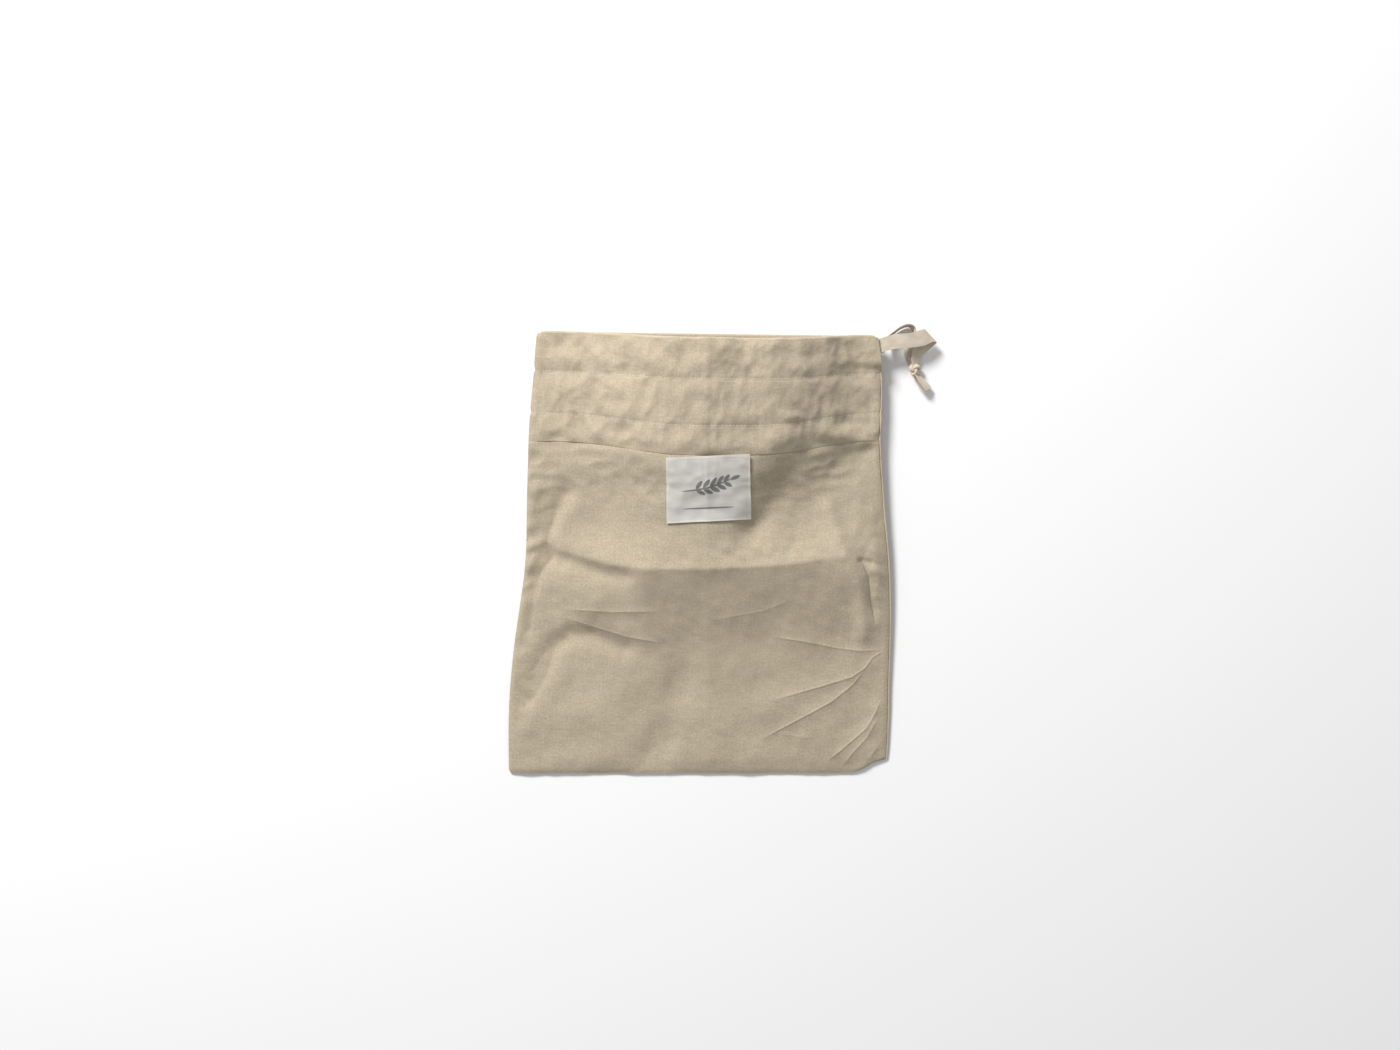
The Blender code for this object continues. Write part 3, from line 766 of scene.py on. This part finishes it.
def stitches(surface, name, rows, look):
    """Running stitches along the rows: short threads that come out of the cloth and go back."""
    curve = bpy.data.curves.new(name, "CURVE")
    curve.dimensions = "3D"
    curve.bevel_depth = THREAD / 2 * MM
    curve.bevel_resolution = 1
    curve.use_fill_caps = True
    for row in rows:
        left, right = (float(edge) for edge in edges(np.array(row)))
        starts = np.arange(left + STITCH_START, right - STITCH_STOP, STITCH_PITCH)
        x = starts[:, None] + np.array(STITCH_SHARES)[None, :] * STITCH
        y0 = row + 0 * x + 0.12 * waves(x, 0 * x, seed=31, shortest=4, longest=9)
        lift = np.array(STITCH_LIFTS)[None, :]
        points = inside(surface, x, row_y(surface, x, y0), -lift - heading_relief(x, y0, surface))
        for stitch in points:
            spline = curve.splines.new("POLY")
            spline.points.add(len(stitch) - 1)
            for point, place in zip(spline.points, stitch):
                point.co = (*(place * MM), 1.0)
    piece = bpy.data.objects.new(name, curve)
    bpy.context.scene.collection.objects.link(piece)
    deselect()
    piece.select_set(True)
    bpy.context.view_layer.objects.active = piece
    bpy.ops.object.convert(target="MESH")
    finish(piece, look, 80)


# The tape


def casing_station(surface, x):
    """The tape's upper and lower edge inside the casing."""
    x = np.array([x, x])
    y = row_y(surface, x, MOUTH + 0 * x) - TAPE_BELOW_MOUTH + np.array([0.5, -0.5]) * TAPE_WIDTH
    pair = inside(surface, x, y, 0 * x + TAPE_DEPTH)
    return pair[0], pair[1]


def casing_run(surface, backwards):
    left, right = edges(np.array(MOUTH - TAPE_BELOW_MOUTH))
    places = np.linspace(left + TURN_INSET, right + 0.6, CASING_STATIONS)
    stations = [casing_station(surface, x) for x in places]
    return stations[::-1] if backwards else stations


def left_turn(above, below, steps=10):
    """Half a turn from the front casing's last station down to the back casing's first."""
    stations = []
    for i in range(1, steps):
        turn = math.pi * i / steps
        pair = []
        for high, low in zip(above, below):
            radius = (high[2] - low[2]) / 2
            offset = np.array([-math.sin(turn) * radius, 0, math.cos(turn) * radius])
            pair.append((high + low) / 2 + offset)
        stations.append(tuple(pair))
    return stations


def rounded(rows, steps=8):
    """Stations on a smooth curve through a table of ribbon edges."""
    pairs = np.array([[row[:3], row[3:]] for row in rows])
    stations = []
    for i in range(len(pairs) - 1):
        a, b, c, d = (pairs[k] for k in (max(0, i - 1), i, i + 1, min(len(pairs) - 1, i + 2)))
        for t in np.arange(steps) / steps:
            near = b * (1 - t) ** 2 * (1 + 2 * t) + (c - a) / 2 * t * (1 - t) ** 2
            point = near + c * t**2 * (3 - 2 * t) - (d - b) / 2 * t**2 * (1 - t)
            stations.append(tuple(point))
    return stations + [tuple(pairs[-1])]


def ribbon(name, stations, look, columns=10):
    first = np.array([s[0] for s in stations])[:, None]
    second = np.array([s[1] for s in stations])[:, None]
    share = np.linspace(0, 1, columns + 1)[None, :, None]
    points = first + (second - first) * share
    piece = grid(name, columns, len(stations) - 1, points, TAPE, look)
    return piece


def tape(look):
    above = casing_run(front, backwards=True)
    below = casing_run(back, backwards=False)
    stations = rounded(UPPER_STRAND) + above + left_turn(above[-1], below[0]) + below
    stations += rounded(LOWER_STRAND)
    piece = ribbon("tape_strands", stations, look)
    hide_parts("tape")
    ends = []
    for rows, name in ((FIRST_END, "tape_end_upper"), (SECOND_END, "tape_end_lower")):
        end = ribbon(name + "_cloth", rounded(rows), look, 8)
        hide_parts(name)
        ends.append(end)
    return piece, ends


def knot(look):
    """An overhand knot drawn tight: a flattened strand swept along the knot's own curve."""
    turns, around = 150, 16
    t = np.linspace(0, 2 * np.pi, turns, endpoint=False)
    path = np.stack(
        [np.sin(t) + 2 * np.sin(2 * t), np.cos(t) - 2 * np.cos(2 * t), -1.4 * np.sin(3 * t)], -1
    )
    path = path / 3.0 * np.array(KNOT_REACH)
    ahead = np.roll(path, -1, axis=0) - np.roll(path, 1, axis=0)
    ahead /= np.linalg.norm(ahead, axis=1, keepdims=True)
    outward = path / np.linalg.norm(path, axis=1, keepdims=True)
    side = np.cross(ahead, outward)
    side /= np.linalg.norm(side, axis=1, keepdims=True)
    outward = np.cross(side, ahead)
    angle = np.linspace(0, 2 * np.pi, around, endpoint=False)[None, :, None]
    ring = side[:, None] * np.cos(angle) * KNOT_WIDTH
    ring = ring + outward[:, None] * np.sin(angle) * KNOT_THICKNESS
    ring += outward[:, None] * KNOT_RIDGE * np.cos(angle * 5)
    points = path[:, None] + ring + np.array(KNOT_CENTRE)
    points[..., 2] = np.maximum(points[..., 2], KNOT_LOW)
    deselect()
    bpy.ops.mesh.primitive_torus_add(
        major_segments=turns, minor_segments=around, major_radius=1, minor_radius=0.3
    )
    piece = bpy.context.object
    piece.name = piece.data.name = "tape_knot_cloth"
    flat = np.empty(turns * around * 3)
    piece.data.vertices.foreach_get("co", flat)
    flat = flat.reshape(-1, 3)
    major = np.rint(np.arctan2(flat[:, 1], flat[:, 0]) / (2 * np.pi) * turns).astype(int) % turns
    out = np.hypot(flat[:, 0], flat[:, 1]) - 1
    minor = np.rint(np.arctan2(flat[:, 2], out) / (2 * np.pi) * around).astype(int) % around
    piece.data.vertices.foreach_set("co", (points[major, minor] * MM).ravel())
    finish(piece, look)
    bpy.ops.object.mode_set(mode="EDIT")
    bpy.ops.mesh.select_all(action="SELECT")
    bpy.ops.mesh.normals_make_consistent(inside=False)
    bpy.ops.object.mode_set(mode="OBJECT")
    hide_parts("tape_knot")
    return piece


# Materials


class Value:
    """A shader socket that takes part in sums."""

    def __init__(self, look, socket):
        self.look = look
        self.socket = socket

    def maths(self, operation, *values):
        return self.look.node("ShaderNodeMath", {"operation": operation}, values)

    def __add__(self, other):
        return self.maths("ADD", self, other)

    def __mul__(self, other):
        return self.maths("MULTIPLY", self, other)

    def __sub__(self, other):
        return self.maths("SUBTRACT", self, other)

    def __rsub__(self, other):
        return self.maths("SUBTRACT", other, self)

    def __abs__(self):
        return self.maths("ABSOLUTE", self)

    def sine(self):
        return self.maths("SINE", self)

    def most(self, other):
        return self.maths("MAXIMUM", self, other)


class Look:
    """A material while it is made."""

    def __init__(self, name, roughness, sheen=0.0):
        self.material = bpy.data.materials.new(name)
        self.material.use_nodes = True
        self.nodes = self.material.node_tree.nodes
        self.links = self.material.node_tree.links
        self.shader = self.nodes["Principled BSDF"]
        self.shader.inputs["Roughness"].default_value = roughness
        self.shader.inputs["Sheen Weight"].default_value = sheen
        self.shader.inputs["Sheen Roughness"].default_value = 0.5
        self.shader.inputs["Specular IOR Level"].default_value = 0.25

    def node(self, kind, settings=None, values=(), out=0):
        made = self.nodes.new(kind)
        for name, setting in (settings or {}).items():
            setattr(made, name, setting)
        pairs = values.items() if isinstance(values, dict) else enumerate(values)
        for key, value in pairs:
            self.put(made.inputs[key], value)
        return Value(self, made.outputs[out])

    def put(self, socket, value):
        if isinstance(value, Value):
            self.links.new(value.socket, socket)
        else:
            socket.default_value = value

    def cloth_place(self):
        """The place on flat cloth, in millimetres: across and along."""
        uv = self.node("ShaderNodeTexCoord", out=2)
        parts = self.node("ShaderNodeSeparateXYZ", values=[uv])
        return parts, Value(self, parts.socket.node.outputs[1])

    def vector(self, x, y, z=0.0):
        return self.node("ShaderNodeCombineXYZ", values=[x, y, z])

    def noise(self, place, scale, detail=2.0, roughness=0.5):
        values = {"Vector": place, "Scale": scale, "Detail": detail, "Roughness": roughness}
        return self.node("ShaderNodeTexNoise", values=values)

    def span(self, value, low, high, to_low=0.0, to_high=1.0, kind="SMOOTHSTEP"):
        settings = {"interpolation_type": kind}
        return self.node("ShaderNodeMapRange", settings, [value, low, high, to_low, to_high])

    def crease(self, line, width):
        """1 along a line of plan points, falling to 0 a width beside it and towards its ends."""
        place = self.node("ShaderNodeTexCoord", out=3)
        plan = self.node("ShaderNodeVectorMath", {"operation": "MULTIPLY"}, [place, (1, 1, 0)])
        crest = None
        for number, (start, end) in enumerate(zip(line, line[1:])):
            run = np.subtract(end, start) * MM
            near = (start[0] * MM, start[1] * MM, 0)
            ahead = (*(run / (run @ run)), 0)
            past = self.node("ShaderNodeVectorMath", {"operation": "SUBTRACT"}, [plan, near])
            dot = {"operation": "DOT_PRODUCT"}
            share = self.node("ShaderNodeVectorMath", dot, [past, ahead], 1)
            held = self.node("ShaderNodeClamp", values=[share])
            values = {0: (*run, 0), "Scale": held}
            foot = self.node("ShaderNodeVectorMath", {"operation": "SCALE"}, values)
            aside = self.node("ShaderNodeVectorMath", {"operation": "DISTANCE"}, [past, foot], 1)
            peak = self.span(aside, 0.0, width * MM, 1.0, 0.0, "LINEAR")
            if number == 0:
                peak = peak * self.span(share, 0.0, 0.7)
            if number == len(line) - 2:
                peak = peak * self.span(share, 1.0, 0.4)
            crest = peak if crest is None else crest.most(peak)
        return crest

    def painted_shade_band(self):
        """1 in a band below the fold across the bag, with soft ends: where painted shade darkens
        the cloth.
        """
        place = self.node("ShaderNodeSeparateXYZ", values=[self.node("ShaderNodeTexCoord", out=3)])
        x, y = place, Value(self, place.socket.node.outputs[1])
        down = self.span(y - x * 0.06, -0.008, -0.024) * self.span(y, -0.175, -0.07)
        return down * self.span(x, -0.12, -0.04) * self.span(x, 0.165, 0.07)

    def blend(self, share, first, second):
        made = self.nodes.new("ShaderNodeMix")
        made.data_type = "RGBA"
        self.put(made.inputs[0], share)
        for socket, colour in ((made.inputs[6], first), (made.inputs[7], second)):
            self.put(socket, colour if isinstance(colour, Value) else (*colour, 1))
        return Value(self, made.outputs[2])

    def bump(self, height, distance, strength=1.0):
        values = {"Strength": strength, "Distance": distance, "Height": height}
        self.put(self.shader.inputs["Normal"], self.node("ShaderNodeBump", values=values))

    def colour(self, value):
        self.put(self.shader.inputs["Base Color"], value)


def weave_height(look, across, along_it, pitch):
    """Plain weave: two threads crossing, each on top in turn."""
    warp = (across * (math.pi / pitch)).sine()
    weft = (along_it * (math.pi / pitch)).sine()
    turn = look.span(warp * weft, -0.35, 0.35)
    return abs(warp) * turn + abs(weft) * (1 - turn)


def cloth_look(name, tones, creases=(), waxed=0.0):
    """Waxed linen: uneven threads, clouds of tone, painted shade in the weave's gaps, crisp
    creases.
    """
    light, dark, warm = tones
    look = Look(name, roughness=0.82, sheen=0.25)
    across, up = look.cloth_place()
    drift = look.noise(look.vector(across * 0.02, up * 0.02), 1.0, detail=2)
    bent_across = across + (drift - 0.5) * 6.0
    bent_up = up + (drift - 0.5) * 6.0
    weave = weave_height(look, bent_across, bent_up, WEAVE_PITCH)
    slub_up = look.noise(look.vector(across * 0.6, up * 0.06), 1.0, detail=3, roughness=0.7)
    slub_across = look.noise(look.vector(across * 0.06, up * 0.6), 1.0, detail=3, roughness=0.7)
    slubs = slub_up * 0.5 + slub_across * 0.5
    cloud = look.noise(look.vector(across * 0.022, up * 0.022), 1.0, detail=4, roughness=0.6)
    fleck = look.noise(look.vector(across * 0.9, up * 0.9), 1.0, detail=2, roughness=0.7)
    share = look.span(slubs * 0.7 + cloud * 0.3, 0.36, 0.64)
    colour = look.blend(share, dark, light)
    colour = look.blend(look.span(cloud, 0.45, 0.75) * 0.35, colour, warm)
    # Painted shade: the weave's gaps are darkened, unevenly with the flecks
    gaps = look.span(weave, 0.1, 0.75)
    colour = look.blend((1 - gaps) * (fleck * 0.7 - 0.1), colour, [c * 0.62 for c in dark])
    grain = look.noise(look.vector(across * 0.5, up * 0.5), 1.0, detail=4, roughness=0.85)
    colour = look.blend(look.span(grain, 0.52, 0.34) * 0.6, colour, [c * 0.76 for c in dark])
    colour = look.blend(look.span(grain, 0.50, 0.68) * 0.5, colour, CLOTH_BRIGHT)
    colour = look.blend(look.span(fleck, 0.70, 0.80) * 0.4, colour, [c * 1.25 for c in light])
    colour = look.blend(look.span(fleck, 0.30, 0.22) * 0.4, colour, [c * 0.6 for c in dark])
    # Painted shade: the band below the fold is darkened towards the dark tone
    if waxed:
        colour = look.blend(look.painted_shade_band() * waxed, colour, [c * 0.8 for c in dark])
    look.colour(colour)
    height = weave * 0.6 + slubs * 1.1
    for crease in creases:
        height = height + look.crease(crease.line, CREASE_WIDTH) * crease.rise * CREASE_STEEPNESS
    look.bump(height, 0.00022, 0.9)
    look.put(look.shader.inputs["Roughness"], look.span(cloud, 0.3, 0.7, 0.74, 0.88))
    return look.material


def label_look():
    """Fine woven label with a raised pale edge."""
    look = Look("label weave", roughness=0.7, sheen=0.15)
    across, up = look.cloth_place()
    rib = weave_height(look, across, up * 2.0, LABEL_PITCH)
    wash = look.noise(look.vector(across * 0.05, up * 0.16), 1.0, detail=3)
    thread = look.noise(look.vector(across * 0.08, up * 2.4), 1.0, detail=2)
    colour = look.blend(look.span(wash, 0.35, 0.65), *LABEL_TONES)
    # Painted shade in the gaps between the label's ribs
    colour = look.blend((1 - rib) * 0.25, colour, LABEL_GAP_SHADE)
    colour = look.blend(look.span(thread, 0.4, 0.7) * 0.2, colour, LABEL_THREAD)
    edge = look.span(abs(across), 36.6, 37.4).most(look.span(abs(up - 30), 28.6, 29.4))
    colour = look.blend(edge * 0.6, colour, LABEL_EDGE)
    look.colour(colour)
    look.bump(rib * 0.5 + thread * 0.5 + edge * 1.2, 0.00012, 0.8)
    return look.material


def tape_look():
    """Twill tape: slanting ribs across fine rows."""
    look = Look("cotton twill", roughness=0.75, sheen=0.3)
    across, up = look.cloth_place()
    slant = ((across + up * 0.8) * (2 * math.pi / TWILL_PITCH)).sine() * 0.5 + 0.5
    rows = (up * (2 * math.pi / TWILL_ROW)).sine() * 0.5 + 0.5
    wash = look.noise(look.vector(across * 0.12, up * 0.06), 1.0, detail=2)
    colour = look.blend(look.span(wash, 0.35, 0.65), *TAPE_TONES)
    colour = look.blend((1 - slant) * 0.18, colour, TAPE_SHADE)
    look.colour(colour)
    look.bump(slant * 0.7 + rows * 0.3, 0.00018, 0.8)
    return look.material


def print_look():
    look = Look("label print", roughness=0.75)
    across, up = look.cloth_place()
    fade = look.noise(look.vector(across * 1.2, up * 1.2), 1.0, detail=2)
    look.colour(look.blend(fade, *PRINT_TONES))
    return look.material


def thread_look():
    look = Look("sewing thread", roughness=0.6, sheen=0.2)
    place = look.node("ShaderNodeTexCoord", out=3)
    grain = look.noise(place, 900.0, detail=2)
    look.colour(look.blend(grain, *THREAD_TONES))
    look.bump(grain, 0.0001, 0.6)
    return look.material


# Stage


def stage():
    deselect()
    bpy.ops.mesh.primitive_plane_add(size=FLOOR_SIZE, location=(0, 0, -FLOOR_DROP))
    floor = bpy.context.object
    floor.name = "floor"
    look = Look("pale floor", roughness=0.9)
    place = look.node("ShaderNodeTexCoord", out=3)
    look.colour(look.blend(look.noise(place, 3.0), *FLOOR_TONES))
    floor.data.materials.append(look.material)

    world = bpy.data.worlds.new("studio")
    bpy.context.scene.world = world
    world.use_nodes = True
    world.node_tree.nodes["Background"].inputs["Color"].default_value = (1, 1, 1, 1)
    world.node_tree.nodes["Background"].inputs["Strength"].default_value = SKY

    lamp = bpy.data.lights.new("key", "AREA")
    lamp.shape = "DISK"
    lamp.size = KEY_SIZE
    lamp.energy = KEY_POWER
    holder = bpy.data.objects.new("key", lamp)
    bpy.context.scene.collection.objects.link(holder)
    holder.location = KEY_PLACE
    aim = -np.array(KEY_PLACE)
    tilt = math.acos(-aim[2] / np.linalg.norm(aim))
    holder.rotation_euler = (tilt, 0, math.atan2(aim[1], aim[0]) - math.pi / 2)

    camera = bpy.data.cameras.new("camera")
    camera.lens = LENS
    camera.sensor_width = SENSOR
    holder = bpy.data.objects.new("camera", camera)
    bpy.context.scene.collection.objects.link(holder)
    holder.location = CAMERA_PLACE
    bpy.context.scene.camera = holder
    bpy.context.scene.view_settings.view_transform = "Standard"


def main():
    stage()
    # The headings and back panel: a lighter copy of the front panel's cloth, painted light
    lit_tones = [[part * PAINTED_LIGHT_GAIN for part in tone] for tone in CLOTH_TONES]
    cloth = cloth_look("waxed linen", lit_tones)
    creased = [fold for fold in FOLDS if fold.sharp and fold.rise < CREASED_BELOW]
    # The front panel's cloth carries painted shade below the fold and in the weave's gaps
    creased_cloth = cloth_look("creased waxed linen with painted shade", CLOTH_TONES, creased, BELOW_FOLD_SHADE)
    tape_cloth = tape_look()
    front_cloth = front_panel(creased_cloth)
    back_cloth = back_panel(cloth)
    front_band = heading(front, "front_heading", cloth)
    back_band = heading(back, "back_heading", cloth)
    label_cloth = label(label_look())
    sprig(print_look())
    thread = thread_look()
    stitches(front, "front_stitches", (CASING_STITCH, LOWER_STITCH), thread)
    stitches(back, "back_stitches", (CASING_STITCH, LOWER_STITCH), thread)
    strands, ends = tape(tape_cloth)
    tied = knot(tape_cloth)


main()
